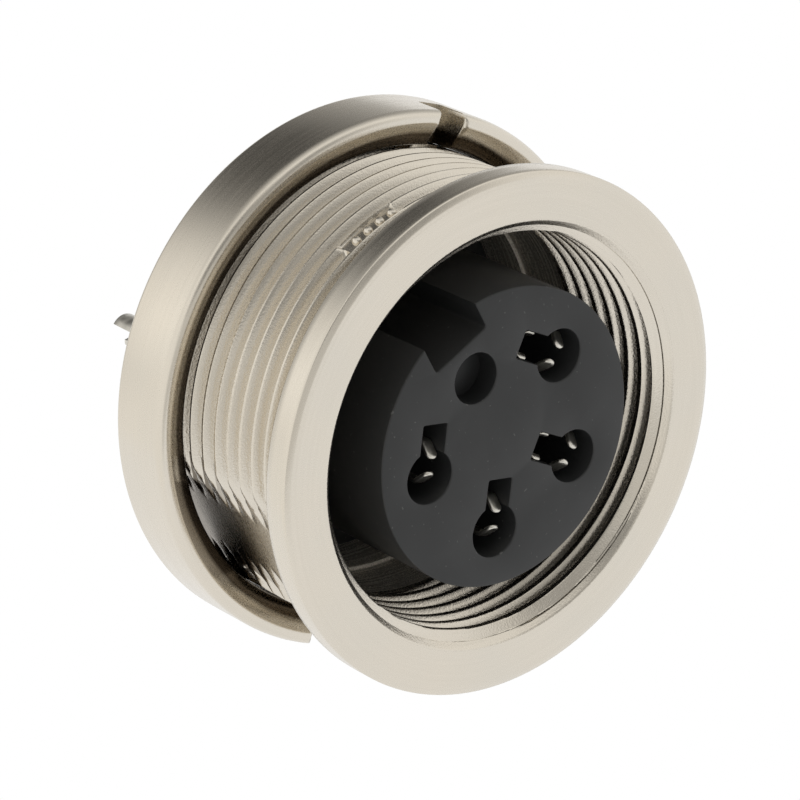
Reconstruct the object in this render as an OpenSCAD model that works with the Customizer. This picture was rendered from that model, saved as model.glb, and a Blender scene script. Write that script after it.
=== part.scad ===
// Round panel receptacle with a keyed insert, four spring sockets and a slotted ring nut.
// The mating axis lies along Y. The front faces -Y, the key groove is at the top, +Z is up.
// The origin is the centre of the flange's rear face, where the flange meets the panel.

/* [Shell] */
// Width of the front flange's lip past the barrel
flange_lip = 1; // [0.7:0.05:1.3]
// Thickness of the front flange
flange_t = 1.25; // [1.0:0.05:1.6]
// Crest diameter of the panel thread on the barrel
barrel_d = 18; // [17.6:0.1:18.2]
// Length of the barrel behind the flange
barrel_l = 9.75; // [9.5:0.05:10.5]
// Depth of the flat cut along the barrel's side
flat_depth = 0.5; // [0.2:0.05:0.6]
// Direction of the flat around the axis, in degrees from +X
flat_angle = 176; // [0:1:359]
// Wall between the panel thread's crest and the coupling thread's crest
mouth_wall = 1.4; // [1.2:0.05:1.6]
// Width of the mouth's chamfer, from the coupling thread's crest out to the face
mouth_chamfer = 0.6; // [0.4:0.05:0.8]
// Length of the coupling thread
thread_l = 4.45; // [3.5:0.05:4.6]
// Radial step from the coupling thread's crest out to the relief behind it
relief_step = 0.2; // [0.15:0.05:0.4]
// Length of the relief
relief_l = 2.35; // [2.0:0.05:2.7]
// Radial step from the bore out to the seat of the insert's base flange
seat_step = 0.4; // [0.3:0.05:0.5]

/* [Ring nut] */
// Radial wall of the ring nut
nut_wall = 1.45; // [1.2:0.05:1.9]
// Length of the ring nut along the axis
nut_l = 3; // [2.5:0.1:3.5]
// Distance from the flange's rear face to the nut's front face
nut_stand = 5.6; // [4.8:0.1:6]
// Radial running clearance between the nut and the barrel
nut_fit = 0.05; // [0.02:0.01:0.09]
// Outer rounding of the nut's front edge
nut_round = 0.5; // [0.2:0.1:0.6]
// Width of each spanner slot
slot_w = 1.2; // [0.8:0.1:1.6]
// Depth of each spanner slot from the nut's front face
slot_depth = 1.6; // [1.0:0.1:2.0]
// Direction of the first spanner slot, in degrees from +X
slot_angle = 44; // [0:1:179]

/* [Insert] */
// Diameter of the insert's post
post_d = 11.5; // [11.3:0.1:12]
// Radial clearance between the insert's base flange and the shell
base_fit = 0.05; // [0.02:0.01:0.1]
// Thickness of the base flange
base_t = 0.6; // [0.5:0.05:0.7]
// Radial gap between the rear boss and the retaining ring
boss_gap = 0.4; // [0.2:0.05:0.6]
// Distance from the flange's rear face to the rear of the boss
boss_end = 12; // [11.5:0.1:13]
// Width of the key groove
key_w = 2.6; // [2:0.1:3]
// Distance from the axis to the floor of the key groove
key_floor = 4.45; // [4.2:0.05:4.8]
// Diameter of the blind round recess under the key groove
blind_d = 1.94; // [1.6:0.02:2.1]
// Distance from the axis to the centre of the blind recess
blind_r = 3.02; // [2.9:0.02:3.1]
// Depth of the blind recess
blind_depth = 1; // [0.5:0.1:2]

/* [Retaining ring] */
// Radial interference of the pressed ring in the shell
ring_press = 0.02; // [0.01:0.01:0.04]
// Thickness of the ring
ring_t = 0.65; // [0.5:0.05:0.7]
// Radial width of the ring
ring_w = 1.4; // [1.2:0.05:1.6]

/* [Contacts] */
// Radius of the circle that the sockets stand on
pitch_r = 3.6; // [3.5:0.05:3.65]
// Diameter of each socket's round cavity
hole_d = 2.04; // [1.96:0.02:2.1]
// Width of each cavity's side slot
side_w = 1.1; // [1.06:0.02:1.16]
// Reach of each side slot from the cavity's centre
side_l = 2; // [1.95:0.05:2.1]
// Depth of each cavity from the insert's face
cavity_depth = 6.5; // [6:0.1:7]
// Depth of the spring tips below the insert's face
tip_depth = 0.25; // [0.15:0.05:0.6]
// Half the gap between two spring tips
tip_gap = 0.26; // [0.2:0.02:0.3]
// Distance that the fork of sockets 1 and 2 stands off the cavity's centre
fork_shift = 0.08; // [0:0.01:0.1]
// Distance that the fork of sockets 3 and 4 stands off the cavity's centre
fork_shift_low = 0.42; // [0.3:0.02:0.44]
// Depth of the side walls of sockets 1 and 2 below the insert's face
wall_depth = 0.3; // [0.2:0.05:1]
// Depth of the side walls of sockets 3 and 4 below the insert's face
wall_depth_low = 2.2; // [1:0.1:3]
// Length of each side wall along its slot
wall_l = 0.6; // [0.4:0.05:0.7]
// Thickness of each side wall
wall_t = 0.18; // [0.12:0.02:0.2]
// Clearance between each side wall and its slot
wall_fit = 0.03; // [0.02:0.01:0.05]
// Distance from each side wall to its slot's end
wall_inset = 0.25; // [0.1:0.05:0.4]
// Height of each contact's collar
collar_h = 1.2; // [0.8:0.1:2]
// Radial clearance between each collar and its cavity
collar_fit = 0.07; // [0.03:0.01:0.1]
// Width of each spring tine
tine_w = 0.5; // [0.4:0.02:0.54]
// Thickness of each spring tine
tine_t = 0.18; // [0.14:0.02:0.2]
// Lean of each tine's tip from the axis, in degrees
tine_lean = 40; // [34:1:44]
// Length of each leaning tip
tine_tip_l = 0.75; // [0.6:0.05:0.8]
// Diameter of each contact's shank
shank_d = 1; // [0.9:0.05:1.1]
// Radial clearance between shank and insert
shank_fit = 0.05; // [0.02:0.01:0.08]
// Diameter of each solder cup
cup_d = 1.3; // [1.25:0.05:1.6]
// Distance from the flange's rear face to the end of the cups
cup_end = 17.9; // [17.5:0.1:19.5]
// Bore of each solder cup
cup_bore_d = 0.9; // [0.6:0.05:1]
// Depth of each solder cup's bore
cup_depth = 3; // [2:0.1:4]
// Length of the bore's closed end, past the cut-away side
cup_lip = 0.4; // [0.2:0.05:0.8]
// Distance from each cup's axis to its cut-away side
cup_cut = 0.25; // [0:0.05:0.3]

/* [Hidden] */
$fn = 96;
eps = 0.5;
barrel_r = barrel_d / 2;
flange_r = barrel_r + flange_lip;
bore_r = barrel_r - mouth_wall;
seat_r = bore_r + seat_step;
base_r = seat_r - base_fit;
ring_bore_r = seat_r - ring_w;
boss_r = ring_bore_r - boss_gap;
seat_z = base_t + ring_t - barrel_l;
thread_z = flange_t - mouth_chamfer;
relief_z = thread_z - thread_l - 0.25;
throat_z = relief_z - relief_l;
nut_bore_r = barrel_r + nut_fit;
nut_r = nut_bore_r + nut_wall;
nut_front = -nut_stand;
nut_rear = nut_front - nut_l;
floor_z = flange_t - cavity_depth;
collar_r = hole_d / 2 - collar_fit;
// Each row is a socket: its direction, its side slot's direction, the direction its two
// tines part along, how far the fork stands off the cavity's centre and towards which
// direction, and the depth of its side walls below the face.
SOCKETS = [
    [18, 126, 26, fork_shift, -60, wall_depth],
    [-54, 126, 26, fork_shift, -60, wall_depth],
    [162, 54, 50, fork_shift_low, 20, wall_depth_low],
    [234, 54, 50, fork_shift_low, 20, wall_depth_low]
];

// Points on a quarter round, from direction a0 to a1, about the point (cr, cz)
function arc(cr, cz, r, a0, a1, n) =
    [for (i = [0:n]) [cr + r * cos(a0 + (a1 - a0) * i / n), cz + r * sin(a0 + (a1 - a0) * i / n)]];

// Turns a shape built along +Z so that +Z points out of the front, along -Y
module face_front() {
    rotate([90, 0, 0]) children();
}

// Moves a shape to a socket's place on the pitch circle
module at_socket(s) {
    rotate([0, 0, s[0]]) translate([pitch_r, 0, 0]) rotate([0, 0, -s[0]]) children();
}

// The turned shell's half section: radius first, then height along the axis
module shell_section() {
    polygon(concat(
        [[seat_r, -barrel_l]],
        [[barrel_r - 0.3, -barrel_l]],
        [[barrel_r, 0.3 - barrel_l]],
        [[barrel_r, 0]],
        [[flange_r - 0.12, 0]],
        [[flange_r, 0.12]],
        [[flange_r, flange_t - 0.15]],
        [[flange_r - 0.25, flange_t - 0.04]],
        [[flange_r - 0.4, flange_t]],
        [[bore_r + mouth_chamfer, flange_t]],
        [[bore_r, thread_z]],
        [[bore_r, thread_z - thread_l]],
        [[bore_r + relief_step, relief_z]],
        [[bore_r + relief_step, throat_z]],
        [[bore_r, throat_z]],
        [[bore_r, seat_z]],
        [[seat_r, seat_z]]
    ));
}

// Turned and nickelled shell: front flange, panel barrel with one flat, threaded mouth
module shell() {
    color("#c9c4b8") face_front() difference() {
        rotate_extrude() shell_section();
        rotate([0, 0, flat_angle])
            translate([barrel_r - flat_depth, -barrel_r, -barrel_l - eps])
            cube([barrel_r, barrel_d, barrel_l + eps]);
    }
}

// The ring nut's half section, with a wide cone leading into its bore
module nut_section() {
    polygon(concat(
        [[nut_bore_r, nut_rear + 0.25]],
        [[nut_bore_r + 0.25, nut_rear]],
        [[nut_r - 0.25, nut_rear]],
        [[nut_r, nut_rear + 0.25]],
        arc(nut_r - nut_round, nut_front - nut_round, nut_round, 0, 90, 6),
        [[nut_bore_r + 0.65, nut_front]],
        [[nut_bore_r, nut_front - 0.65]]
    ));
}

// Ring nut with two opposite spanner slots cut into its front face
module ring_nut() {
    color("#c4bfb4") face_front() difference() {
        rotate_extrude() nut_section();
        for (turn = [0, 180])
            rotate([0, 0, slot_angle + turn])
            translate([nut_bore_r - eps, -slot_w / 2, nut_front - slot_depth])
            cube([nut_wall + 2 * eps, slot_w, slot_depth + eps]);
    }
}

// Keyhole cavity: a round hole with a square-ended slot to one side
module cavity(s) {
    at_socket(s) {
        translate([0, 0, floor_z]) cylinder(h = cavity_depth + eps, d = hole_d);
        rotate([0, 0, s[1]])
            translate([0, -side_w / 2, floor_z])
            cube([side_l, side_w, cavity_depth + eps]);
        translate([0, 0, -boss_end - eps])
            cylinder(h = boss_end, r = shank_d / 2 + shank_fit);
    }
}

// Moulded insert: keyed post, base flange, rear boss and four keyhole cavities
module insert() {
    color("#2b2c2d") face_front() difference() {
        rotate_extrude() polygon([
            [0, flange_t],
            [post_d / 2 - 0.1, flange_t],
            [post_d / 2, flange_t - 0.1],
            [post_d / 2, seat_z],
            [base_r, seat_z],
            [base_r, seat_z - base_t],
            [boss_r, seat_z - base_t],
            [boss_r, 0.3 - boss_end],
            [boss_r - 0.3, -boss_end],
            [0, -boss_end]
        ]);
        translate([-key_w / 2, key_floor, seat_z]) cube([key_w, post_d, flange_t - seat_z + eps]);
        rotate([0, 0, 90])
            translate([blind_r, 0, flange_t - blind_depth])
            cylinder(h = blind_depth + eps, d = blind_d);
        for (s = SOCKETS) cavity(s);
    }
}

// Plain ring pressed into the shell behind the insert's base flange
module retaining_ring() {
    color("#b9b4a8") face_front() translate([0, 0, -barrel_l]) difference() {
        cylinder(h = ring_t, r = seat_r + ring_press);
        translate([0, 0, -eps]) cylinder(h = ring_t + 2 * eps, r = ring_bore_r);
    }
}

// A flat strip standing up from the origin, thin along x, with a round top of its own width
module strip(l) {
    translate([-tine_t / 2, 0, 0]) rotate([90, 0, 90]) linear_extrude(height = tine_t) union() {
        translate([-tine_w / 2, 0]) square([tine_w, l - tine_w / 2]);
        translate([0, l - tine_w / 2]) circle(d = tine_w);
    }
}

// One spring tine: a straight leg from the collar and a tip that leans in over the cavity
module tine() {
    reach = tine_tip_l * sin(tine_lean);
    top = flange_t - tip_depth;
    bend_z = top - tine_tip_l * cos(tine_lean);
    leg_x = tip_gap + reach;
    translate([leg_x, 0, bend_z]) rotate([0, -tine_lean, 0]) strip(tine_tip_l);
    translate([leg_x, 0, bend_z]) rotate([90, 0, 0]) cylinder(h = tine_w, d = tine_t, center = true);
    translate([leg_x - tine_t / 2, -tine_w / 2, floor_z + collar_h / 2])
        cube([tine_t, tine_w, bend_z - floor_z - collar_h / 2]);
}

// The walls folded up beside a fork, standing in the cavity's side slot on a common web
module side_walls(s) {
    web = floor_z + collar_h / 2;
    wall_h = flange_t - s[5] - web;
    wall_end = side_l - wall_inset;
    wall_y = (side_w - wall_t) / 2 - wall_fit;
    rotate([0, 0, s[1]]) {
        translate([0, wall_fit - side_w / 2, web])
            cube([wall_end, side_w - 2 * wall_fit, collar_h / 2]);
        for (side = [-1, 1])
            translate([wall_end - wall_l, side * wall_y - wall_t / 2, web])
            cube([wall_l, wall_t, wall_h]);
    }
}

// Solder cup: a round tail, drilled from its end and cut away on one side
module solder_cup(s) {
    difference() {
        translate([0, 0, -cup_end]) cylinder(h = cup_end - boss_end, d = cup_d);
        translate([0, 0, -cup_end - eps]) cylinder(h = cup_depth + eps, d = cup_bore_d);
        rotate([0, 0, abs(s[0]) > 90 ? 180 : 0])
            translate([cup_cut, -cup_d, -cup_end - eps])
            cube([cup_d, 2 * cup_d, cup_depth - cup_lip + eps]);
    }
}

// Socket contact: fork, collar on the cavity's floor, shank through the insert, solder cup
module contact(s) {
    color("#cfc9bc") face_front() at_socket(s) {
        translate([0, 0, floor_z]) cylinder(h = collar_h, r = collar_r);
        translate([0, 0, -boss_end - eps]) cylinder(h = boss_end + floor_z + 2 * eps, d = shank_d);
        solder_cup(s);
        side_walls(s);
        rotate([0, 0, s[4]]) translate([s[3], 0, 0]) rotate([0, 0, s[2] - s[4]])
            for (turn = [0, 180]) rotate([0, 0, turn]) tine();
    }
}

module contact_1() { contact(SOCKETS[0]); }
module contact_2() { contact(SOCKETS[1]); }
module contact_3() { contact(SOCKETS[2]); }
module contact_4() { contact(SOCKETS[3]); }

shell();
ring_nut();
insert();
retaining_ring();
contact_1();
contact_2();
contact_3();
contact_4();
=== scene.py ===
"""Dresses the round panel socket connector: turned surfaces with real helical threads, the
slotted ring nut, the keyed insert with its keyhole cavities, the spring contacts, and their finishes.

Sizes are in millimetres in the classes and become metres in the meshes. Every turned surface
is worked out in turning coordinates: radius r, direction theta in degrees from +X towards +Z,
and height z along the axis, which points out of the mouth (that is, along -Y).
"""
import logging
import math
from dataclasses import dataclass, field
from enum import Enum

import bmesh
import bpy
import numpy as np
from mathutils import Matrix, Vector


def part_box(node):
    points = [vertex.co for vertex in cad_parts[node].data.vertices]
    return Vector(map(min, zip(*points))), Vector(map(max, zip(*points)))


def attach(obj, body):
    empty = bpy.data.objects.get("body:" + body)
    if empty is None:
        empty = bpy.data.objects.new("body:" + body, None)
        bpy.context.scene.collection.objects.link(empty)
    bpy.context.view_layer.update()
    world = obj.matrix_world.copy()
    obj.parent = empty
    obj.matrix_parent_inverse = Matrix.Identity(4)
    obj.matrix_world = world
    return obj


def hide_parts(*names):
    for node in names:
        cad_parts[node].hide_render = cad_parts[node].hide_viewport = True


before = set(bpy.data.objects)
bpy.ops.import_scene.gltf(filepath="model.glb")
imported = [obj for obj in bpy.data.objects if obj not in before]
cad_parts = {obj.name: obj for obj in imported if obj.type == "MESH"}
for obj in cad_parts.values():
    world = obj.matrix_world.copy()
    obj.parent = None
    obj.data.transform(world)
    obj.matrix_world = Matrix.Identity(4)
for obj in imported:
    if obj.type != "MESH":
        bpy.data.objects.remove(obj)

LOG = logging.getLogger("connector")
MM = 0.001
PITCH = 0.75


class Slot(Enum):
    """The record's material slots."""

    SHELL = "nickel_shell"
    NUT = "nickel_nut"
    INSERT = "black_plastic"
    CONTACT = "tinned_contact"


class Wind(Enum):
    """Which side of a threaded wall the metal is on."""

    OUTSIDE = 1
    INSIDE = -1


# ---- surfaces


def smooth(x: np.ndarray) -> np.ndarray:
    """Smooth step: 3 x^2 - 2 x^3 on 0 to 1, held flat outside.

    Args:
        x: Any values.

    Returns:
        The stepped values, from 0 to 1.
    """
    x = np.clip(x, 0.0, 1.0)
    return x * x * (3.0 - 2.0 * x)


def place(r: np.ndarray, theta: np.ndarray, z: np.ndarray) -> np.ndarray:
    """Turning coordinates to the object's frame: X = r cos, Y = -z, Z = r sin.

    Args:
        r: Radii in mm.
        theta: Directions in degrees.
        z: Heights in mm, growing towards the mouth.

    Returns:
        Points in mm, one row each.
    """
    r, theta, z = np.broadcast_arrays(r, np.radians(theta), z)
    return np.stack([r * np.cos(theta), -z, r * np.sin(theta)], axis=-1).reshape(-1, 3)


def grid_quads(rows: int, cols: int, close_rows: bool, close_cols: bool) -> np.ndarray:
    """Quads between neighbouring points of a grid.

    Args:
        rows: How many rows the grid has.
        cols: How many columns.
        close_rows: Whether the last row joins the first.
        close_cols: Whether the last column joins the first.

    Returns:
        An array of four point numbers a row.
    """
    i = np.arange(rows if close_rows else rows - 1)
    j = np.arange(cols if close_cols else cols - 1)
    i0, j0 = np.meshgrid(i, j, indexing="ij")
    i1, j1 = (i0 + 1) % rows, (j0 + 1) % cols
    corners = [i0 * cols + j0, i0 * cols + j1, i1 * cols + j1, i1 * cols + j0]
    return np.stack(corners, axis=-1).reshape(-1, 4)


@dataclass
class Skin:
    """Points and faces that are gathered into one mesh."""

    points: list[np.ndarray] = field(default_factory=list)
    quads: list[np.ndarray] = field(default_factory=list)
    count: int = 0

    def add(self, points: np.ndarray, quads: np.ndarray) -> None:
        """Adds points in mm and their quads, turned so that a closed form faces outwards."""
        p, q = points.reshape(-1, 3), quads
        a, b, c, d = (p[q[:, k]] for k in range(4))
        volume = float(np.sum(a * (np.cross(b, c) + np.cross(c, d))))
        if volume < 0:
            q = q[:, ::-1]
        self.points.append(p)
        self.quads.append(q + self.count)
        self.count += len(p)

    def mesh(self, name: str, sharp: float = 38.0) -> bpy.types.Object:
        """Makes the mesh object.

        Args:
            name: The piece's name.
            sharp: Edges that turn by more than this many degrees stay crisp.

        Returns:
            The new object, at the origin, linked to the scene.
        """
        p = np.concatenate(self.points) * MM
        q = np.concatenate(self.quads)
        mesh = bpy.data.meshes.new(name)
        mesh.vertices.add(len(p))
        mesh.vertices.foreach_set("co", p.astype(np.float32).ravel())
        mesh.loops.add(q.size)
        mesh.loops.foreach_set("vertex_index", q.astype(np.int32).ravel())
        mesh.polygons.add(len(q))
        mesh.polygons.foreach_set("loop_start", np.arange(0, q.size, 4, dtype=np.int32))
        mesh.update(calc_edges=True)
        shape = bmesh.new()
        shape.from_mesh(mesh)
        bmesh.ops.remove_doubles(shape, verts=shape.verts, dist=2e-7)
        bmesh.ops.dissolve_degenerate(shape, edges=shape.edges, dist=1e-7)
        shape.to_mesh(mesh)
        shape.free()
        mesh.polygons.foreach_set("use_smooth", np.ones(len(mesh.polygons), dtype=bool))
        mesh.set_sharp_from_angle(angle=math.radians(sharp))
        mesh.update()
        piece = bpy.data.objects.new(name, mesh)
        bpy.context.scene.collection.objects.link(piece)
        return piece


def eased(corners: list[tuple[float, float, float]], steps: int = 5) -> np.ndarray:
    """A closed half section whose corners are rounded.

    At each corner the round is a quadratic curve from the point at the given length before
    the corner to the same length after it, bent towards the corner.

    Args:
        corners: Radius, height and rounding length of each corner in turn, in mm.
        steps: How many spans each round has.

    Returns:
        Points (r, z) round the section.
    """
    c = np.array([k[:2] for k in corners])
    ease = np.array([k[2] for k in corners])
    before, after = np.roll(c, 1, axis=0) - c, np.roll(c, -1, axis=0) - c
    before /= np.linalg.norm(before, axis=1)[:, None]
    after /= np.linalg.norm(after, axis=1)[:, None]
    t = np.linspace(0.0, 1.0, steps + 1)[None, :, None]
    start = (c + before * ease[:, None])[:, None, :]
    end = (c + after * ease[:, None])[:, None, :]
    mid = c[:, None, :]
    return ((1 - t) ** 2 * start + 2 * t * (1 - t) * mid + t**2 * end).reshape(-1, 2)


def turned(section: np.ndarray, spans: int = 240) -> tuple[np.ndarray, np.ndarray]:
    """A ring turned from a closed half section.

    Args:
        section: Points (r, z) round the section.
        spans: How many columns the ring has.

    Returns:
        The points and the quads.
    """
    theta = np.arange(spans) * 360.0 / spans
    points = place(section[:, :1], theta[None, :], section[:, 1:])
    return points, grid_quads(len(section), spans, True, True)


@dataclass(frozen=True)
class Thread:
    """A right-handed 60 degree thread.

    crest is the radius at the crest, depth how far the root lies from it, and phase the
    height of a crest in the direction theta = 0. wind says which side the metal is on.
    """

    crest: float
    depth: float
    phase: float
    wind: Wind
    crest_half: float = 0.07
    root_half: float = 0.09

    def fractions(self) -> np.ndarray:
        """Where in one pitch the grid's rows lie: at the crest, its edges, the flanks, the root."""
        c, r = self.crest_half, self.root_half
        half = [0.0, c - 0.02, c + 0.02, 0.5 * (c + 0.5 - r), 0.5 - r - 0.02, 0.5 - r + 0.02]
        return np.array(half + [0.5] + [1.0 - h for h in reversed(half[1:])])

    def radius(self, theta: np.ndarray, z: np.ndarray) -> np.ndarray:
        """The wall's radius: crest minus or plus depth times how far down the flank a point is."""
        u = np.mod((z - self.phase) / PITCH - theta / 360.0, 1.0)
        u = np.minimum(u, 1.0 - u)
        down = np.clip((u - self.crest_half) / (0.5 - self.crest_half - self.root_half), 0.0, 1.0)
        return self.crest - self.wind.value * self.depth * down

    def rows(self, low: float, high: float, theta: np.ndarray) -> tuple[np.ndarray, int]:
        """Heights of grid rows that follow the helix between two planes.

        Row t lies at phase + pitch (turns + fraction + theta / 360), held between low and high.

        Args:
            low: The rear plane's height.
            high: The front plane's height.
            theta: The grid's columns, in degrees.

        Returns:
            The heights, one row of columns each, and how many rows make a turn.
        """
        u = self.fractions()
        first = math.floor((low - self.phase) / PITCH) - 1
        last = math.ceil((high - self.phase) / PITCH) + 1
        turns = (np.arange(first, last)[:, None] + u[None, :]).ravel()
        z = self.phase + PITCH * (turns[:, None] + theta[None, :] / 360.0)
        return np.clip(z, low, high), len(u)


# ---- finishes


@dataclass(frozen=True)
class Finish:
    """A surface finish built from nodes on Object coordinates."""

    name: str
    color: tuple[float, float, float]
    metallic: float
    roughness: float

    def start(self) -> tuple[bpy.types.Material, bpy.types.NodeTree, bpy.types.Node]:
        """Makes the material with its constant values set on the shader's own sockets."""
        material = bpy.data.materials.new(self.name)
        material.use_nodes = True
        tree = material.node_tree
        shader = tree.nodes["Principled BSDF"]
        shader.inputs["Base Color"].default_value = (*self.color, 1.0)
        shader.inputs["Metallic"].default_value = self.metallic
        shader.inputs["Roughness"].default_value = self.roughness
        return material, tree, shader


def node(tree: bpy.types.NodeTree, kind: str, **values: object) -> bpy.types.Node:
    """Adds a node and sets its properties, and its inputs where the name is an input's.

    Args:
        tree: The material's nodes.
        kind: The node's type name.
        values: Property or input values. Spaces in input names are written as underscores.

    Returns:
        The new node.
    """
    made = tree.nodes.new(kind)
    for key, value in values.items():
        socket = made.inputs.get(key.replace("_", " "))
        if socket is not None:
            socket.default_value = value
        else:
            setattr(made, key, value)
    return made


def math_node(
    tree: bpy.types.NodeTree, operation: str, a: object, b: object = 0.0
) -> bpy.types.NodeSocket:
    """Adds a Math node whose two inputs are sockets or numbers, and returns its output."""
    made = tree.nodes.new("ShaderNodeMath")
    made.operation = operation
    for k, value in enumerate((a, b)):
        if isinstance(value, bpy.types.NodeSocket):
            tree.links.new(value, made.inputs[k])
        else:
            made.inputs[k].default_value = value
    return made.outputs[0]


def product(tree: bpy.types.NodeTree, *factors: object) -> bpy.types.NodeSocket:
    """Multiplies sockets or numbers, from the first to the last."""
    result = factors[0]
    for factor in factors[1:]:
        result = math_node(tree, "MULTIPLY", result, factor)
    return result


def between(tree: bpy.types.NodeTree, value: object, low: float, high: float) -> bpy.types.NodeSocket:
    """1 where the value lies between low and high, 0 elsewhere."""
    below = math_node(tree, "LESS_THAN", value, high)
    return product(tree, below, math_node(tree, "GREATER_THAN", value, low))


def object_position(tree: bpy.types.NodeTree) -> tuple[bpy.types.NodeSocket, ...]:
    """The Object coordinates x, y and z, in metres."""
    coords = tree.nodes.new("ShaderNodeTexCoord")
    parts = tree.nodes.new("ShaderNodeSeparateXYZ")
    tree.links.new(coords.outputs["Object"], parts.inputs[0])
    return tuple(parts.outputs)


def axis_distance(tree: bpy.types.NodeTree, x: object, z: object) -> bpy.types.NodeSocket:
    """The distance from the turning axis."""
    squares = math_node(tree, "ADD", product(tree, x, x), product(tree, z, z))
    return math_node(tree, "SQRT", squares)


def around_axis(tree: bpy.types.NodeTree, fine: float, long: float) -> bpy.types.NodeSocket:
    """Coordinates for marks that run round the turning axis.

    The first is radius x fine + cosine x long, the second is height x fine + sine x long, so a
    noise read there changes fast across the marks and slowly along them.

    Args:
        tree: The material's nodes.
        fine: Cycles per metre across the marks.
        long: Cycles per radian along the marks.

    Returns:
        The vector socket.
    """
    x, y, z = object_position(tree)
    radius = axis_distance(tree, x, z)
    cosine = math_node(tree, "DIVIDE", x, radius)
    sine = math_node(tree, "DIVIDE", z, radius)
    joined = tree.nodes.new("ShaderNodeCombineXYZ")
    for k, (across, along) in enumerate(((radius, cosine), (y, sine))):
        total = math_node(tree, "ADD", product(tree, across, fine), product(tree, along, long))
        tree.links.new(total, joined.inputs[k])
    tree.links.new(product(tree, cosine, long), joined.inputs[2])
    return joined.outputs[0]


def noise(
    tree: bpy.types.NodeTree, vector: bpy.types.NodeSocket | None, scale: float, detail: float
) -> bpy.types.NodeSocket:
    """Adds a Noise Texture and returns its factor.

    Args:
        tree: The material's nodes.
        vector: The coordinates, or None for Object coordinates.
        scale: The texture's scale.
        detail: Its detail.

    Returns:
        The factor's socket, from 0 to 1.
    """
    made = node(tree, "ShaderNodeTexNoise", Scale=scale, Detail=detail)
    if vector is None:
        vector = tree.nodes.new("ShaderNodeTexCoord").outputs["Object"]
    tree.links.new(vector, made.inputs["Vector"])
    return made.outputs["Fac"]


def spread(
    tree: bpy.types.NodeTree, value: bpy.types.NodeSocket, low: float, high: float, a: float, b: float
) -> bpy.types.NodeSocket:
    """Maps a value from low..high to a..b, held at the ends."""
    made = node(tree, "ShaderNodeMapRange", From_Min=low, From_Max=high, To_Min=a, To_Max=b)
    tree.links.new(value, made.inputs["Value"])
    return made.outputs[0]


def tinted(
    tree: bpy.types.NodeTree,
    shader: bpy.types.Node,
    factor: bpy.types.NodeSocket,
    a: tuple[float, float, float] | bpy.types.NodeSocket,
    b: tuple[float, float, float],
) -> None:
    """Drives the base colour from a, a colour or a socket, to the colour b."""
    mix = tree.nodes.new("ShaderNodeMix")
    mix.data_type = "RGBA"
    if isinstance(a, bpy.types.NodeSocket):
        tree.links.new(a, mix.inputs["A"])
    else:
        mix.inputs["A"].default_value = (*a, 1.0)
    mix.inputs["B"].default_value = (*b, 1.0)
    tree.links.new(factor, mix.inputs["Factor"])
    tree.links.new(mix.outputs["Result"], shader.inputs["Base Color"])


def bumped(
    tree: bpy.types.NodeTree, shader: bpy.types.Node, heights: list[tuple[bpy.types.NodeSocket, float]]
) -> None:
    """Chains bumps onto the shader's normal.

    Args:
        tree: The material's nodes.
        shader: The surface shader.
        heights: Each height from 0 to 1, with the depth it stands for in metres.
    """
    last = None
    for height, depth in heights:
        made = node(tree, "ShaderNodeBump", Strength=1.0, Distance=depth)
        tree.links.new(height, made.inputs["Height"])
        if last is not None:
            tree.links.new(last, made.inputs["Normal"])
        last = made.outputs[0]
    tree.links.new(last, shader.inputs["Normal"])


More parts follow.
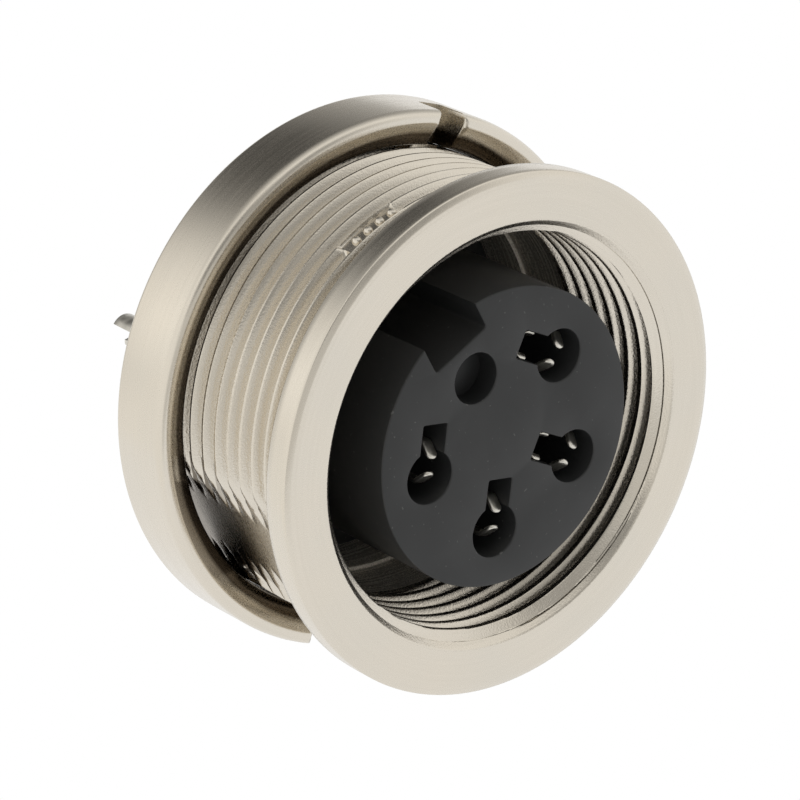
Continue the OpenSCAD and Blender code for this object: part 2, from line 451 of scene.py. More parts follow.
@dataclass(frozen=True)
class SatinNickel(Finish):
    """Turned brass under satin nickel: lathe marks round the axis, fine grain, faint clouding.

    Lengths are in metres, and depths are measured behind the panel plane. marks, grain and
    chatter are bump depths; chatter is the roughness of the cut threads. painted_shade_from is
    where the painted shade inside the nut's front starts: dark brown painted in for the shadow
    in the nut's mouth and the dark thread that it reflects. It is 0 for a piece that has its
    painted shade on the barrel's flat instead, darker towards the nut, where the flat reflects
    the dark gap by the nut.
    """

    marks: float = 1.2e-6
    grain: float = 1.5e-6
    chatter: float = 7e-6
    painted_shade_from: float = 0.0
    warm: tuple[float, float, float] = (0.72, 0.665, 0.575)
    # Painted shade colour: dark brown for the shadow and dark reflections by the nut's mouth.
    painted_shade_color: tuple[float, float, float] = (0.1, 0.078, 0.055)
    mouth_r: float = 0.00822
    mouth_end: float = 0.0042
    relief_r: float = 0.0084
    relief_metallic: float = 0.35
    barrel_r: tuple[float, float] = (0.00855, 0.00905)
    neck_end: float = 0.0006
    # Where the painted shade lies on the barrel's flat: between these radii, on the side past flat_x,
    # darkening over these depths towards the nut.
    flat_r: tuple[float, float] = (0.00838, 0.00872)
    flat_x: float = -0.008
    flat_shade_depths: tuple[float, float] = (0.0042, 0.0056)

    def painted_shade_cover(self, tree: bpy.types.NodeTree, cloud: bpy.types.NodeSocket) -> bpy.types.NodeSocket:
        """How far the painted shade covers a place: the inside of the nut's front, or the flat's rear near
        the nut.
        """
        x, depth, z = object_position(tree)
        radius = axis_distance(tree, x, z)
        # Painted shade inside the nut's front, behind its face, for its shadowed mouth.
        if self.painted_shade_from:
            ragged = math_node(tree, "ADD", radius, spread(tree, cloud, 0.3, 0.7, -6e-5, 6e-5))
            inside = spread(tree, ragged, 0.00952, 0.0097, 1.0, 0.0)
            behind = spread(tree, depth, self.painted_shade_from, self.painted_shade_from + 5e-5, 0.0, 1.0)
            return product(tree, inside, behind)
        # Painted shade on the flat, darker towards the nut, for the dark gap that it reflects.
        rearward = spread(tree, depth, *self.flat_shade_depths, 0.0, 0.8)
        side = math_node(tree, "LESS_THAN", x, self.flat_x)
        return product(tree, between(tree, radius, *self.flat_r), rearward, side)

    def build(self) -> bpy.types.Material:
        """Colour drifts between two nickels under the painted shade, roughness follows marks and
        grain, both are bumps, and the relief behind the mouth's thread is dull."""
        material, tree, shader = self.start()
        marks = noise(tree, around_axis(tree, 9000.0, 2.0), 1.0, 3.0)
        grain = noise(tree, None, 16000.0, 2.0)
        cloud = noise(tree, None, 260.0, 3.0)
        tinted(tree, shader, spread(tree, cloud, 0.3, 0.7, 0.0, 1.0), self.color, self.warm)
        unshaded = shader.inputs["Base Color"].links[0].from_socket
        # Lays the painted shade, dark brown, over the nickel's colour.
        tinted(tree, shader, self.painted_shade_cover(tree, cloud), unshaded, self.painted_shade_color)
        x, depth, z = object_position(tree)
        radius = axis_distance(tree, x, z)
        in_front = math_node(tree, "LESS_THAN", depth, self.mouth_end)
        mouth = product(tree, math_node(tree, "LESS_THAN", radius, self.mouth_r), in_front)
        past_neck = math_node(tree, "GREATER_THAN", depth, self.neck_end)
        barrel = product(tree, between(tree, radius, *self.barrel_r), past_neck)
        threads = math_node(tree, "MAXIMUM", mouth, barrel)
        chatter = product(tree, noise(tree, None, 14000.0, 1.0), threads)
        in_relief = math_node(tree, "LESS_THAN", radius, self.relief_r)
        relief = product(tree, in_relief, math_node(tree, "GREATER_THAN", depth, self.mouth_end))
        metallic = spread(tree, relief, 0.0, 1.0, self.metallic, self.relief_metallic)
        tree.links.new(metallic, shader.inputs["Metallic"])
        streaks = spread(tree, marks, 0.3, 0.7, self.roughness - 0.04, self.roughness + 0.04)
        rough = math_node(tree, "ADD", streaks, spread(tree, grain, 0.3, 0.7, -0.03, 0.05))
        tree.links.new(rough, shader.inputs["Roughness"])
        bumped(tree, shader, [(marks, self.marks), (grain, self.grain), (chatter, self.chatter)])
        return material


@dataclass(frozen=True)
class MouldedPlastic(Finish):
    """Black moulded plastic: a dull skin with fine grain, flow clouding and specks of dust."""

    def build(self) -> bpy.types.Material:
        """Grain and clouding change the roughness; sparse specks are paler; grain is a bump."""
        material, tree, shader = self.start()
        grain = noise(tree, None, 9000.0, 2.0)
        cloud = noise(tree, None, 420.0, 3.0)
        speck = noise(tree, None, 7000.0, 0.0)
        tinted(tree, shader, spread(tree, speck, 0.8, 0.86, 0.0, 1.0), self.color, (0.07, 0.07, 0.068))
        rough = spread(tree, cloud, 0.3, 0.7, self.roughness - 0.05, self.roughness + 0.06)
        tree.links.new(rough, shader.inputs["Roughness"])
        bumped(tree, shader, [(cloud, 4e-6), (grain, 1.2e-6)])
        return material


@dataclass(frozen=True)
class TinnedSpring(Finish):
    """Plated spring strip: soft tin with fine scratches and dull patches."""

    def build(self) -> bpy.types.Material:
        """Patches change colour and roughness; fine scratches are a bump."""
        material, tree, shader = self.start()
        patch = noise(tree, None, 2200.0, 3.0)
        scratch = noise(tree, None, 14000.0, 2.0)
        tinted(tree, shader, spread(tree, patch, 0.35, 0.65, 0.0, 1.0), self.color, (0.80, 0.77, 0.70))
        rough = spread(tree, patch, 0.3, 0.7, self.roughness - 0.06, self.roughness + 0.1)
        tree.links.new(rough, shader.inputs["Roughness"])
        bumped(tree, shader, [(patch, 6e-6), (scratch, 1.5e-6)])
        return material


# ---- sub-assemblies


def dress(
    piece: bpy.types.Object, material: bpy.types.Material, body: str, slot: Slot, *stands_for: str
) -> None:
    """Gives a piece its finish, its body and the CAD nodes that it stands for.

    Args:
        piece: The new mesh object.
        material: Its finish.
        body: The body it moves with.
        slot: The record's material slot. Not used.
        stands_for: The nodes that it replaces.
    """
    piece.data.materials.clear()
    piece.data.materials.append(material)
    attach(piece, body)
    if stands_for:
        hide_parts(*stands_for)
    LOG.info("%s: %d faces on %s", piece.name, len(piece.data.polygons), body)


@dataclass
class Shell:
    """The turned shell: front flange, threaded barrel with one flat, threaded mouth."""

    flange_r: float
    front: float
    rear: float
    barrel_r: float = 9.0
    flat: float = 8.42
    flat_theta: float = 179.5
    bumps_theta: float = 85.8
    bumps_step: float = 3.75
    bumps_z: float = -1.92
    pocket_r: float = 8.82
    neck_r: float = 8.72
    lead_r: float = 8.2
    land_r: float = 7.95
    land_l: float = 0.33
    entry_slope: float = 1.73
    relief_r: float = 7.8
    seat_r: float = 8.0
    panel: Thread = Thread(9.0, 0.44, -5.441, Wind.OUTSIDE)
    mouth: Thread = Thread(7.6, 0.4, -3.695, Wind.INSIDE, 0.16, 0.05)

    def columns(self) -> np.ndarray:
        """Directions of the grid's columns, closer together over the row of bumps."""
        coarse = np.arange(0.0, 360.0, 360.0 / 232)
        fine = np.arange(self.bumps_theta - 11.0, self.bumps_theta + 11.0, 0.5)
        outside = (coarse < fine[0] - 0.5) | (coarse > fine[-1] + 0.5)
        return np.sort(np.concatenate([coarse[outside], fine]))

    def barrel(self, theta: np.ndarray, z: np.ndarray) -> np.ndarray:
        """The barrel's radius.

        The thread, faded out into a plain neck under the flange, cut by the end chamfer,
        by the flat (flat / cosine of the angle from its middle), and by a shallow pocket that
        holds a row of small domes.
        """
        r = self.panel.radius(theta, z)
        neck = smooth((z + 0.75) / 0.3)
        r = r * (1 - neck) + self.neck_r * neck
        r = np.minimum(r, self.barrel_r - 0.35 + (z - self.rear))
        off = np.radians(np.mod(theta - self.flat_theta + 180.0, 360.0) - 180.0)
        chord = self.flat / np.cos(np.clip(off, -1.0, 1.0))
        r = np.minimum(r, np.where(np.abs(off) < 1.0, chord, 99.0))
        along = np.mod(theta - self.bumps_theta - 1.1 + 180.0, 360.0) - 180.0
        pocket = smooth((8.8 - np.abs(along)) / 0.9)
        pocket = pocket * smooth((0.43 - np.abs(z - self.bumps_z)) / 0.09)
        return r * (1 - pocket) + self.pocket_r * pocket

    def domes(self, skin: Skin) -> None:
        """Four small domes in the pocket: oval balls sunk to their middles in its floor."""
        cols, rows = 24, 13
        around = np.radians(np.linspace(0.0, 360.0, cols + 1)[:-1])[None, :]
        up = np.radians(np.linspace(-88.0, 88.0, rows))[:, None]
        for k in (-1.5, -0.5, 0.5, 1.5):
            aside = 0.18 / self.pocket_r * np.cos(up) * np.cos(around)
            theta = self.bumps_theta + k * self.bumps_step + np.degrees(aside)
            z = self.bumps_z + 0.21 * np.cos(up) * np.sin(around)
            points = place(self.pocket_r + 0.18 * np.sin(up), theta, z)
            skin.add(points, grid_quads(rows, cols, False, True))

    def bore(self, theta: np.ndarray, z: np.ndarray) -> np.ndarray:
        """The mouth's radius in its threaded length: the thread, opened out in front by the
        lead-in cone, its short land and the cut that starts the thread, and run out into the
        relief behind."""
        r = self.mouth.radius(theta, z)
        cone = np.maximum(self.lead_r - (self.front - z), self.land_r)
        past = np.maximum(self.front - self.land_l - z, 0.0)
        r = np.maximum(r, cone - self.entry_slope * past)
        out = smooth((-3.72 - z) / 0.16)
        return r * (1 - out) + self.relief_r * out

    def build(self, finish: bpy.types.Material) -> bpy.types.Object:
        """Joins the rows of the turned skin in order, from the rear face round to the bore.

        Each part holds its rows' radii and heights, and how many rows make one turn of its
        helix, by which its last column joins the first.
        """
        theta = self.columns()
        f, z1 = self.flange_r, self.front
        n = len(theta)

        def ring(pairs: list[tuple[float, float]]) -> tuple[np.ndarray, np.ndarray, int]:
            """Plain rows through the points (r, z)."""
            rz = np.array(pairs)
            return np.repeat(rz[:, :1], n, 1), np.repeat(rz[:, 1:], n, 1), 0

        parts = [ring([(self.seat_r, self.rear), (8.3, self.rear)])]
        z, turn = self.panel.rows(self.rear, -0.12, theta)
        parts.append((self.barrel(theta[None, :], z), z, turn))
        parts.append(ring([
            (8.76, -0.04), (8.84, 0.0), (9.2, 0.0), (f - 0.14, 0.0), (f - 0.05, 0.03), (f, 0.12),
            (f, 0.4), (f, z1 - 0.4), (f, z1 - 0.2), (f - 0.015, z1 - 0.155), (f - 0.05, z1 - 0.125),
            (f - 0.22, z1 - 0.05), (f - 0.26, z1 - 0.035), (f - 0.30, z1 - 0.03),
            (f - 0.38, z1 - 0.012), (f - 0.43, z1), (f - 0.5, z1),
            (8.6, z1), (8.3, z1), (8.22, z1 - 0.004)]))
        spans = ((0.02, 0.25, 6), (0.27, self.land_l, 3), (0.36, 0.64, 10))
        lead = np.concatenate([np.linspace(z1 - a, z1 - b, k) for a, b, k in spans])
        lead = np.repeat(lead[:, None], n, 1)
        parts.append((self.bore(theta[None, :], lead), lead, 0))
        z, turn = self.mouth.rows(-3.95, z1 - 0.66, theta)
        parts.append((self.bore(theta[None, :], z[::-1]), z[::-1], -turn))
        parts.append(ring([
            (self.relief_r, -4.1), (self.relief_r, -6.2), (7.79, -6.33), (7.75, -6.385),
            (7.66, -6.4), (7.62, -6.415), (7.6, -6.46), (7.6, -7.5), (7.6, -8.5), (self.seat_r, -8.5)]))
        radii = np.concatenate([part[0] for part in parts])
        heights = np.concatenate([part[1] for part in parts])
        total = len(radii)
        full = np.arange(total * n).reshape(total, n)
        quads = []
        base = 0
        for r, _, turn in parts:
            i = np.arange(base, base + len(r))
            after = (i + 1) % total
            top = base + len(r) - 1
            span = [full[i, :-1], full[i, 1:], full[after, 1:], full[after, :-1]]
            quads.append(np.stack(span, -1).reshape(-1, 4))
            jump = np.clip(i + turn, base, top)
            jump_after = np.where(i == top, after, np.clip(i + 1 + turn, base, top))
            seam = [full[i, -1], full[jump, 0], full[jump_after, 0], full[after, -1]]
            quads.append(np.stack(seam, -1))
            base += len(r)
        skin = Skin()
        skin.add(place(radii, theta[None, :], heights), np.concatenate(quads))
        self.domes(skin)
        piece = skin.mesh("shell_turned")
        dress(piece, finish, "connector", Slot.SHELL, "shell")
        return piece


@dataclass
class RingNut:
    """The ring nut, with two opposite spanner slots cut into its front face."""

    outer_r: float
    front: float
    rear: float
    bore_r: float = 9.05
    slot_theta: float = 44.0
    slot_half: float = 0.6
    slot_depth: float = 1.6
    cone_w: float = 0.98
    cone_l: float = 0.7

    def build(self, finish: bpy.types.Material) -> bpy.types.Object:
        """A turned ring whose columns run straight across each slot.

        Near a slot a column at the distance y from the slot's middle lies at the direction
        asin(y / r), so the slot's walls are flat and parallel, and the section's heights are
        held down to the slot's floor.
        """
        f, b, h, d = self.front, self.rear, self.slot_half, self.slot_depth
        bore, rim = self.bore_r, self.outer_r
        section = eased([
            (bore, b + 0.25, 0.05), (bore + 0.25, b, 0.05), (rim - 0.28, b, 0.1), (rim, b + 0.28, 0.1),
            (rim, f, 0.43), (bore + self.cone_w, f, 0.04), (bore + 0.08, f - 0.52, 0.05),
            (bore, f - self.cone_l, 0.05)], 6)
        across = h + np.array([0.5, 0.22, 0.14, 0.07, 0.02, 0.0, 0.0, -0.03, -0.1, -0.3])
        drop = np.array([0, 0, 0.012, 0.05, 0.11, 0.18, d - 0.08, d - 0.02, d, d])
        across = np.concatenate([-across, across[::-1]])
        drop = np.concatenate([drop, drop[::-1]])
        spans = 100
        rest = np.linspace(0.0, 1.0, spans + 2)[1:-1]
        edge = math.degrees(math.asin(across[-1] / self.outer_r))
        theta_rest = edge + rest * (180.0 - 2 * edge)
        r = section[:, :1]
        near = np.degrees(np.arcsin(across[None, :] / r))
        shear = np.degrees(np.arcsin(across[-1] / r)) - edge
        blend = 1 - smooth((theta_rest - edge) / 8.0)
        blend_far = 1 - smooth((180.0 - edge - theta_rest) / 8.0)
        far = theta_rest[None, :] + shear * blend[None, :] - shear * blend_far[None, :]
        theta = np.concatenate([near, far, near + 180.0, far + 180.0], axis=1) + self.slot_theta
        lower = np.concatenate([drop, np.zeros(spans), drop, np.zeros(spans)])
        ceiling = f - lower + np.where(lower > 0, 0.0, 1.0)
        z = np.minimum(section[:, 1:], ceiling[None, :])
        skin = Skin()
        skin.add(place(r, theta, z), grid_quads(len(section), theta.shape[1], True, True))
        piece = skin.mesh("ring_nut_turned")
        dress(piece, finish, "nut", Slot.NUT, "ring_nut")
        return piece


@dataclass
class Socket:
    """Where one socket stands and how its fork sits in its cavity."""

    name: str
    theta: float
    slot_theta: float
    fork_theta: float
    shift: float
    shift_theta: float
    wall_depth: float

    def centre(self, pitch_r: float) -> np.ndarray:
        """The cavity's middle, as (x, y) seen from the front."""
        t = math.radians(self.theta)
        return pitch_r * np.array([math.cos(t), math.sin(t)])


def to_frame(x: np.ndarray, y: np.ndarray, z: np.ndarray) -> np.ndarray:
    """Face coordinates (x to the right, y up, z out of the mouth) to the object's frame."""
    x, y, z = np.broadcast_arrays(x, y, z)
    return np.stack([x, -z, y], axis=-1).reshape(-1, 3)


def keyhole(hole_r: float, half: float, reach: float, turn: float, middle: np.ndarray) -> np.ndarray:
    """A keyhole outline: a circle opened by a straight slot with a square end.

    Args:
        hole_r: The circle's radius.
        half: Half the slot's width.
        reach: How far the slot's end lies from the circle's middle.
        turn: The slot's direction in degrees.
        middle: The circle's middle.

    Returns:
        Points (x, y) round the outline, anticlockwise.
    """
    open_at = math.degrees(math.asin(half / hole_r))
    a = np.radians(np.linspace(open_at, 360.0 - open_at, 49))
    circle = np.stack([hole_r * np.cos(a), hole_r * np.sin(a)], -1)
    q = np.radians(np.linspace(0.0, 90.0, 5))
    e = 0.07
    low = np.stack([reach - e + e * np.sin(q), -half + e - e * np.cos(q)], -1)
    high = np.stack([reach - e + e * np.cos(q), half - e + e * np.sin(q)], -1)
    flat = np.concatenate([circle, low, high])
    t = math.radians(turn)
    spin = np.array([[math.cos(t), math.sin(t)], [-math.sin(t), math.cos(t)]])
    return flat @ spin + middle


def inward(outline: np.ndarray) -> np.ndarray:
    """Unit directions to the left of a closed anticlockwise outline, mitred at its corners."""
    ahead = np.roll(outline, -1, axis=0) - outline
    ahead /= np.linalg.norm(ahead, axis=1)[:, None]
    left = np.stack([-ahead[:, 1], ahead[:, 0]], -1)
    both = left + np.roll(left, 1, axis=0)
    length = np.sum(both * left, axis=1)
    return both / np.maximum(length, 0.5)[:, None]


@dataclass
class Insert:
    """The moulded insert: keyed post, base flange, rear boss, blind recess, keyhole cavities."""

    front: float
    rear: float
    base_r: float
    sockets: list[Socket]
    post_r: float = 5.75
    key_half: float = 1.3
    key_floor: float = 4.45
    seat: float = -8.5
    base_t: float = 0.6
    boss_r: float = 6.2
    pitch_r: float = 3.6
    hole_r: float = 1.02
    side_half: float = 0.55
    side_reach: float = 2.0
    floor: float = -5.25
    blind_r: float = 0.97
    blind_up: float = 3.02
    blind_depth: float = 1.0

    def outline(self) -> np.ndarray:
        """The post's outline, anticlockwise: a circle with the key groove at the top."""
        wide = math.degrees(math.asin(self.key_half / self.post_r))
        a = np.radians(np.linspace(90.0 + wide, 450.0 - wide, 181))
        circle = np.stack([self.post_r * np.cos(a), self.post_r * np.sin(a)], -1)
        k, d = self.key_half, self.key_floor
        right = [(k, d + 0.12), (k - 0.035, d + 0.035), (k - 0.12, d)]
        left = [(-x, y) for x, y in reversed(right)]
        return np.concatenate([circle, np.array([*right, (0.0, d), *left])])

    def loops(self) -> list[tuple[np.ndarray, float, float]]:
        """Each outline on the face, with the depth of its floor and the side its wall leans to."""
        t = np.radians(np.linspace(0.0, 360.0, 57)[:-1])
        blind = np.stack([self.blind_r * np.cos(t), self.blind_up + self.blind_r * np.sin(t)], -1)
        size = (self.hole_r, self.side_half, self.side_reach)
        keyholes = [keyhole(*size, s.slot_theta, s.centre(self.pitch_r)) for s in self.sockets]
        return [
            (self.outline(), self.seat, -1.0),
            (blind, self.front - self.blind_depth, 1.0),
            *((outline, self.floor, 1.0) for outline in keyholes),
        ]

    def build(self, finish: bpy.types.Material) -> bpy.types.Object:
        """Carries an edge round and a wall along every outline, and fills the face and floors.

        The edge round goes from the face down to the wall: at the angle a it lies e (1 - cos a)
        below the face and e (1 - sin a) from the wall.
        """
        e = 0.06
        a = np.radians(np.linspace(0.0, 90.0, 4))
        shape = bmesh.new()
        rims: list[bmesh.types.BMEdge] = []
        for outline, floor, side in self.loops():
            aside = inward(outline) * side
            off = np.concatenate([-e * (1 - np.sin(a)), [0.0]])
            deep = np.concatenate([e * (1 - np.cos(a)), [self.front - floor]])
            xy = outline[None, :, :] + aside[None, :, :] * off[:, None, None]
            z = np.repeat(self.front - deep, len(outline))
            points = to_frame(xy[..., 0].ravel(), xy[..., 1].ravel(), z) * MM
            verts = [shape.verts.new(p) for p in points]
            for f in grid_quads(len(off), len(outline), False, True):
                shape.faces.new([verts[k] for k in (f if side < 0 else f[::-1])])
            n = len(outline)
            shape.edges.index_update()
            rim = verts[:n]
            for k in range(n):
                rims.append(shape.edges.get((rim[k], rim[(k + 1) % n])))
            if side > 0:
                shape.faces.new(verts[-n:])
        bmesh.ops.triangle_fill(shape, use_beauty=True, use_dissolve=False, edges=rims)
        bmesh.ops.recalc_face_normals(shape, faces=shape.faces)
        mesh = bpy.data.meshes.new("insert_post")
        shape.to_mesh(mesh)
        shape.free()
        mesh.polygons.foreach_set("use_smooth", np.ones(len(mesh.polygons), dtype=bool))
        mesh.set_sharp_from_angle(angle=math.radians(50))
        post = bpy.data.objects.new("insert_post", mesh)
        bpy.context.scene.collection.objects.link(post)
        skin = Skin()
        s, t = self.seat, self.seat - self.base_t
        skin.add(*turned(eased([
            (0.02, s, 0.005), (self.base_r, s, 0.06), (self.base_r, t, 0.06), (self.boss_r, t, 0.02),
            (self.boss_r, self.rear, 0.3), (0.02, self.rear, 0.005)], 4), 180))
        base = skin.mesh("insert_base")
        dress(post, finish, "connector", Slot.INSERT, "insert")
        dress(base, finish, "connector", Slot.INSERT)
        return post


@dataclass
class Contact:
    """One socket contact: fork, collar, side walls, shank and solder cup."""

    socket: Socket
    front: float
    rear: float
    boss_end: float
    pitch_r: float = 3.6
    tip_depth: float = 0.25
    tine_half: float = 0.25
    tine_t: float = 0.18
    lean: float = 40.0
    tip_l: float = 0.75
    floor: float = -5.25
    collar_h: float = 1.2

    def tine(self, turn: float) -> tuple[np.ndarray, np.ndarray]:
        """A spring tine: a flat oval section carried up the leg, round the bend and to the tip.

        The path starts in the collar, runs straight up, and leans in by the lean angle over
        the last stretch; towards the tip the section's half width follows a circle.
        """
        lean = math.radians(self.lean)
        top = self.front - self.tip_depth
        reach, rise = self.tip_l * math.sin(lean), self.tip_l * math.cos(lean)
        leg_x, bend_z = 0.26 + reach, top - rise
        round_l = self.tine_half / self.tip_l
        end = 2.0 - round_l * (1 - np.sin(np.linspace(0.0, math.pi / 2, 9)))
        s = np.concatenate([np.linspace(0.0, 1.0, 4), 1.0 + np.array([0.08, 0.16, 0.3, 0.45]), end])
        low = self.floor + self.collar_h / 2
        up = np.clip(s, 0.0, 1.0) * (bend_z - low) + low + np.clip(s - 1.0, 0.0, 1.0) * rise
        x = leg_x - np.clip(s - 1.0, 0.0, 1.0) * reach
        bend = smooth((s - 0.94) / 0.2) * lean
        tip = np.clip((s - (2.0 - round_l)) / round_l, 0.0, 1.0)
        half = self.tine_half * np.sqrt(np.clip(1.0 - tip**2, 0.0, 1.0))
        thick = self.tine_t / 2 * np.sqrt(np.clip(1.0 - tip**4, 0.02, 1.0))
        a = np.linspace(0.0, 2 * math.pi, 25)[:-1]
        wide = np.sign(np.cos(a)) * np.abs(np.cos(a)) ** 0.35
        flat = np.sign(np.sin(a)) * np.abs(np.sin(a)) ** 0.6
        px = x[:, None] + thick[:, None] * flat[None, :] * np.cos(bend)[:, None]
        pz = up[:, None] + thick[:, None] * flat[None, :] * np.sin(bend)[:, None]
        py = np.maximum(half, 0.004)[:, None] * wide[None, :]
        t = math.radians(self.socket.fork_theta + turn)
        sh = math.radians(self.socket.shift_theta)
        shift = self.socket.shift * np.array([math.cos(sh), math.sin(sh)])
        cx, cy = self.socket.centre(self.pitch_r) + shift
        wx = cx + px * math.cos(t) - py * math.sin(t)
        wy = cy + px * math.sin(t) + py * math.cos(t)
        return to_frame(wx, wy, pz), grid_quads(len(s), len(a), False, True)

    def wall(self, side: int) -> tuple[np.ndarray, np.ndarray]:
        """A side wall: a rounded oblong carried straight up the slot, with a bevelled top."""
        t = math.radians(self.socket.slot_theta)
        cx, cy = self.socket.centre(self.pitch_r)
        a = np.linspace(0.0, 2 * math.pi, 25)[:-1]
        top = self.front - self.socket.wall_depth
        z = np.array([self.floor + self.collar_h / 2, top - 0.22, top - 0.03, top])
        shrink = np.array([1.0, 1.0, 0.45, 0.05])
        wide = np.sign(np.cos(a)) * np.abs(np.cos(a)) ** 0.3
        flat = np.sign(np.sin(a)) * np.abs(np.sin(a)) ** 0.5
        px = 1.43 + 0.28 * wide * (0.4 + 0.6 * shrink)[:, None]
        py = side * (0.43 + 0.09 * (1 - shrink))[:, None] + 0.085 * flat * shrink[:, None]
        wx = cx + px * math.cos(t) - py * math.sin(t)
        wy = cy + px * math.sin(t) + py * math.cos(t)
        return to_frame(wx, wy, z[:, None]), grid_quads(4, len(a), False, True)

    def cup(self) -> tuple[np.ndarray, np.ndarray]:
        """The solder cup: a round tail whose end is drilled and cut away on the side facing out.

        Over the drilled length the section is an open tube: an outer arc of about two thirds of
        a circle and an inner arc back, carried along the axis; in front of it the section closes.
        """
        cx, cy = self.socket.centre(self.pitch_r)
        depth, outer, inner = 3.0, 0.65, 0.45
        side = 180.0 if abs(self.socket.theta) < 90 else 0.0
        back, close = self.rear, self.rear + depth - 0.4
        z = np.concatenate([
            [back, back, back + 0.06], np.linspace(back + 0.5, close - 0.3, 4),
            [close - 0.1, close, close + 0.02], [back + depth, back + depth + 0.02, self.boss_end]])
        half = np.radians([118, 118, 119, 120, 120, 120, 121, 128, 155, 179.5, 179.5, 179.5, 179.5])
        out = np.concatenate([[inner + 0.05, outer - 0.05, outer], np.full(10, outer)])
        inn = np.concatenate([[inner + 0.05], np.full(10, inner), [0.02, 0.02]])
        n = 20
        s = np.linspace(-1.0, 1.0, n)
        mid = math.radians(side)
        oa = mid + half[:, None] * s[None, :]
        ia = mid + half[:, None] * s[None, ::-1]
        angle = np.concatenate([oa, ia], axis=1)
        radius = np.concatenate([np.repeat(out[:, None], n, 1), np.repeat(inn[:, None], n, 1)], axis=1)
        points = to_frame(cx + radius * np.cos(angle), cy + radius * np.sin(angle), z[:, None])
        return points, grid_quads(len(z), 2 * n, False, True)

    def build(self, finish: bpy.types.Material) -> bpy.types.Object:
        """Gathers the contact's forms into one piece."""
        skin = Skin()
        for turn in (0.0, 180.0):
            skin.add(*self.tine(turn))
        for side in (-1, 1):
            skin.add(*self.wall(side))
        skin.add(*self.cup())
        cx, cy = self.socket.centre(self.pitch_r)
        f, h = self.floor, self.collar_h
        collar = eased([
            (0.02, f, 0.005), (0.5, f, 0.01), (0.95, f, 0.02), (0.95, f + h, 0.1), (0.02, f + h, 0.005)], 3)
        points, quads = turned(collar, 40)
        skin.add(points + np.array([cx, 0.0, cy]), quads)
        piece = skin.mesh(self.socket.name + "_spring", 45.0)
        dress(piece, finish, "connector", Slot.CONTACT, self.socket.name)
        return piece


@dataclass
class RetainingRing:
    """The plain ring pressed in behind the insert."""

    front: float
    rear: float
    outer_r: float = 8.0
    bore_r: float = 6.6

    def build(self, finish: bpy.types.Material) -> bpy.types.Object:
        """A turned flat ring with small broken edges."""
        e = 0.06
        corners = [
            (self.bore_r, self.front, e), (self.bore_r, self.rear, e),
            (self.outer_r, self.rear, e), (self.outer_r, self.front, e)]
        skin = Skin()
        skin.add(*turned(eased(corners, 3), 200))
        piece = skin.mesh("retaining_ring_turned")
        dress(piece, finish, "connector", Slot.SHELL, "retaining_ring")
        return piece


# ---- studio


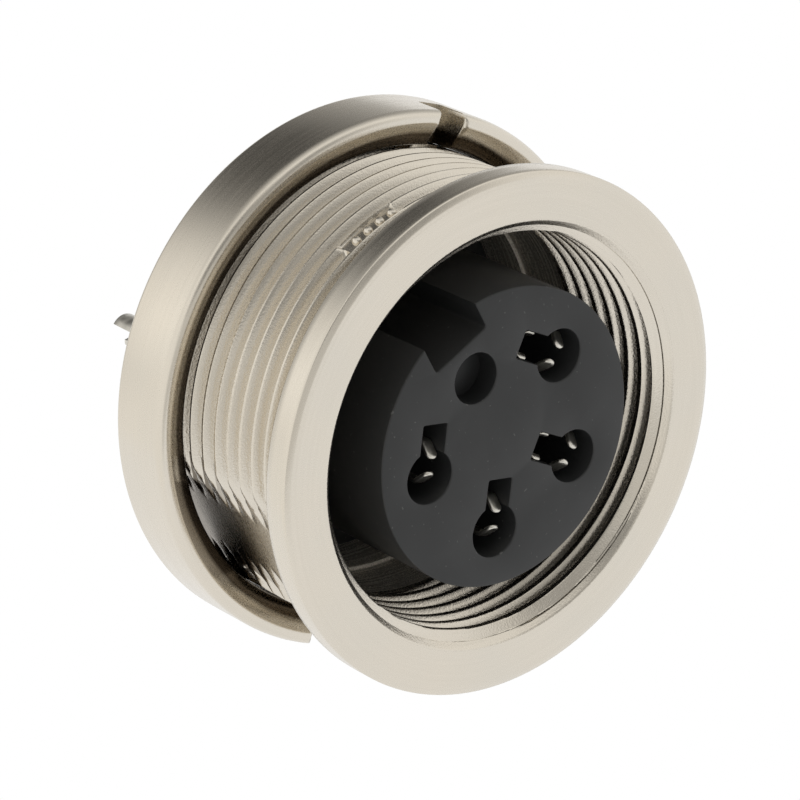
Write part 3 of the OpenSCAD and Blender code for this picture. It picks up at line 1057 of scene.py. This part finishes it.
@dataclass
class Studio:
    """Camera, surround and floor."""

    eye: tuple[float, float, float] = (-50.10, -103.91, 89.91)
    heading: float = 24.62
    dip: float = 37.03
    roll: float = 27.6
    lens: float = 180.0

    def camera(self) -> None:
        """Stands the camera at the eye: it looks along +Y turned right by heading, down by dip,
        and is rolled about its own line of sight."""
        data = bpy.data.cameras.new("camera")
        data.lens = self.lens
        data.sensor_width = 36.0
        data.clip_start = 0.01
        data.clip_end = 10.0
        camera = bpy.data.objects.new("camera", data)
        h, d, w = (math.radians(v) for v in (self.heading, self.dip, self.roll))
        ahead = np.array([math.sin(h) * math.cos(d), math.cos(h) * math.cos(d), -math.sin(d)])
        level = np.array([math.cos(h), -math.sin(h), 0.0])
        upright = np.cross(level, ahead)
        right = math.cos(w) * level - math.sin(w) * upright
        up = np.cross(right, ahead)
        turn = np.stack([right, up, -ahead], axis=1)
        place_at = Matrix.Translation([v * MM for v in self.eye])
        camera.matrix_world = place_at @ Matrix(turn.tolist()).to_4x4()
        bpy.context.scene.collection.objects.link(camera)
        bpy.context.scene.camera = camera

    def any_ray(self, tree: bpy.types.NodeTree, *kinds: str) -> bpy.types.NodeSocket:
        """1 for a ray of any of the kinds, 0 for others."""
        rays = tree.nodes.new("ShaderNodeLightPath")
        seen = rays.outputs[f"Is {kinds[0]} Ray"]
        for kind in kinds[1:]:
            seen = math_node(tree, "MAXIMUM", seen, rays.outputs[f"Is {kind} Ray"])
        return seen

    def lobe(
        self,
        tree: bpy.types.NodeTree,
        middle: tuple[float, float, float],
        steps: list[tuple[float, float]],
    ) -> bpy.types.NodeSocket:
        """A value that depends on the cosine between the looked-at direction and a middle.

        Args:
            tree: The surround's nodes.
            middle: The region's middle direction.
            steps: Cosines from 0 to 1, rising, with the value at each.

        Returns:
            The value's socket.
        """
        dot = tree.nodes.new("ShaderNodeVectorMath")
        dot.operation = "DOT_PRODUCT"
        dot.inputs[1].default_value = Vector(middle).normalized()
        tree.links.new(tree.nodes.new("ShaderNodeTexCoord").outputs["Generated"], dot.inputs[0])
        ramp = tree.nodes.new("ShaderNodeValToRGB")
        points = ramp.color_ramp.elements
        points.remove(points[1])
        points[0].position, points[0].color = steps[0][0], (*[steps[0][1]] * 3, 1.0)
        for cosine, value in steps[1:]:
            points.new(cosine).color = (*[value] * 3, 1.0)
        tree.links.new(dot.outputs["Value"], ramp.inputs["Fac"])
        return ramp.outputs["Color"]

    def world(self) -> None:
        """A white surround with four soft darker regions and a bright one, so metal has form.

        One dark lies behind, above and to the right; three smaller ones lie in front, above
        the mouth and to both sides of it; the bright one is behind and to the left. Each
        follows the cosine between a direction and its middle through a few listed steps.
        """
        world = bpy.data.worlds.new("surround")
        bpy.context.scene.world = world
        world.use_nodes = True
        tree = world.node_tree
        tree.nodes.clear()
        behind = [(0.3, 1.0), (0.5, 0.85), (0.7, 0.6), (0.84, 0.43), (0.94, 0.23), (0.99, 0.08)]
        darks = [
            self.lobe(tree, (0.44, 0.73, 0.52), behind),
            self.lobe(tree, (-0.1, -0.68, 0.73), [(0.88, 1.0), (0.93, 0.62), (0.975, 0.3)]),
            self.lobe(tree, (0.35, -0.87, 0.35), [(0.85, 1.0), (0.93, 0.64), (0.98, 0.38)]),
            self.lobe(tree, (-0.35, -0.93, 0.05), [(0.84, 1.0), (0.95, 0.7)]),
        ]
        bright = self.lobe(tree, (-0.34, 0.73, 0.6), [(0.89, 0.0), (0.95, 0.2), (0.99, 0.42)])
        power = darks[0]
        for dark in darks[1:]:
            power = math_node(tree, "MINIMUM", power, dark)
        power = math_node(tree, "ADD", power, bright)
        studio = tree.nodes.new("ShaderNodeBackground")
        studio.inputs["Color"].default_value = (1.0, 0.985, 0.955, 1.0)
        tree.links.new(power, studio.inputs["Strength"])
        plain = node(tree, "ShaderNodeBackground", Strength=1.0)
        plain.inputs["Color"].default_value = (1.0, 1.0, 1.0, 1.0)
        choose = tree.nodes.new("ShaderNodeMixShader")
        tree.links.new(self.any_ray(tree, "Camera", "Transmission"), choose.inputs[0])
        tree.links.new(studio.outputs[0], choose.inputs[1])
        tree.links.new(plain.outputs[0], choose.inputs[2])
        out = tree.nodes.new("ShaderNodeOutputWorld")
        tree.links.new(choose.outputs[0], out.inputs[0])

    def floor(self) -> None:
        """A plain pale floor well below the held part."""
        w, low = 2.0, -0.3
        mesh = bpy.data.meshes.new("floor")
        mesh.from_pydata([(-w, -w, low), (w, -w, low), (w, w, low), (-w, w, low)], [], [(0, 1, 2, 3)])
        floor = bpy.data.objects.new("floor", mesh)
        bpy.context.scene.collection.objects.link(floor)
        material, tree, shader = Finish("pale_floor", (0.85, 0.85, 0.84), 0.0, 0.9).start()
        glow = node(tree, "ShaderNodeEmission", Strength=1.0)
        choose = tree.nodes.new("ShaderNodeMixShader")
        tree.links.new(self.any_ray(tree, "Camera", "Glossy", "Transmission"), choose.inputs[0])
        tree.links.new(shader.outputs[0], choose.inputs[1])
        tree.links.new(glow.outputs[0], choose.inputs[2])
        tree.links.new(choose.outputs[0], tree.nodes["Material Output"].inputs["Surface"])
        mesh.materials.append(material)

    def build(self) -> None:
        """Sets up the view, camera, surround and floor."""
        bpy.context.scene.view_settings.view_transform = "Standard"
        self.camera()
        self.world()
        self.floor()


def main() -> None:
    """Builds the connector's sub-assemblies in order, then the studio."""
    logging.basicConfig(level=logging.INFO, format="%(name)s: %(message)s")
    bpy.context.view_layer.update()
    nickel_color = (0.70, 0.655, 0.575)
    # Both nickels carry painted shade: the shell's on the barrel's flat near the nut, the nut's inside its
    # front.
    nickel = SatinNickel("satin_nickel", nickel_color, 1.0, 0.26).build()
    nut_nickel = SatinNickel(
        "turned_nickel", nickel_color, 1.0, 0.24, marks=2.2e-6, grain=0.8e-6, painted_shade_from=0.00562
    ).build()
    plastic = MouldedPlastic("black_plastic", (0.017, 0.018, 0.0185), 0.0, 0.45).build()
    tin = TinnedSpring("tinned_spring", (0.62, 0.60, 0.54), 1.0, 0.34).build()
    shell, nut, insert = (np.array(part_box(n)) / MM for n in ("shell", "ring_nut", "insert"))
    tail = np.array(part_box("contact_1")) / MM
    sockets = [
        Socket("contact_1", 18.0, 126.0, 26.0, 0.08, -60.0, 0.3),
        Socket("contact_2", -54.0, 126.0, 26.0, 0.08, -60.0, 0.3),
        Socket("contact_3", 162.0, 54.0, 50.0, 0.42, 20.0, 2.2),
        Socket("contact_4", 234.0, 54.0, 50.0, 0.42, 20.0, 2.2),
    ]
    Shell(shell[1][0], -shell[0][1], -shell[1][1]).build(nickel)
    nut_r = float(np.abs(nut[:, [0, 2]]).min())
    RingNut(nut_r, -nut[0][1], -nut[1][1]).build(nut_nickel)
    Insert(-insert[0][1], -insert[1][1], insert[1][0], sockets).build(plastic)
    for socket in sockets:
        Contact(socket, -insert[0][1], -tail[1][1], -insert[1][1]).build(tin)
    RetainingRing(-9.1, -shell[1][1]).build(nickel)
    Studio().build()


if __name__ == "__main__":
    main()
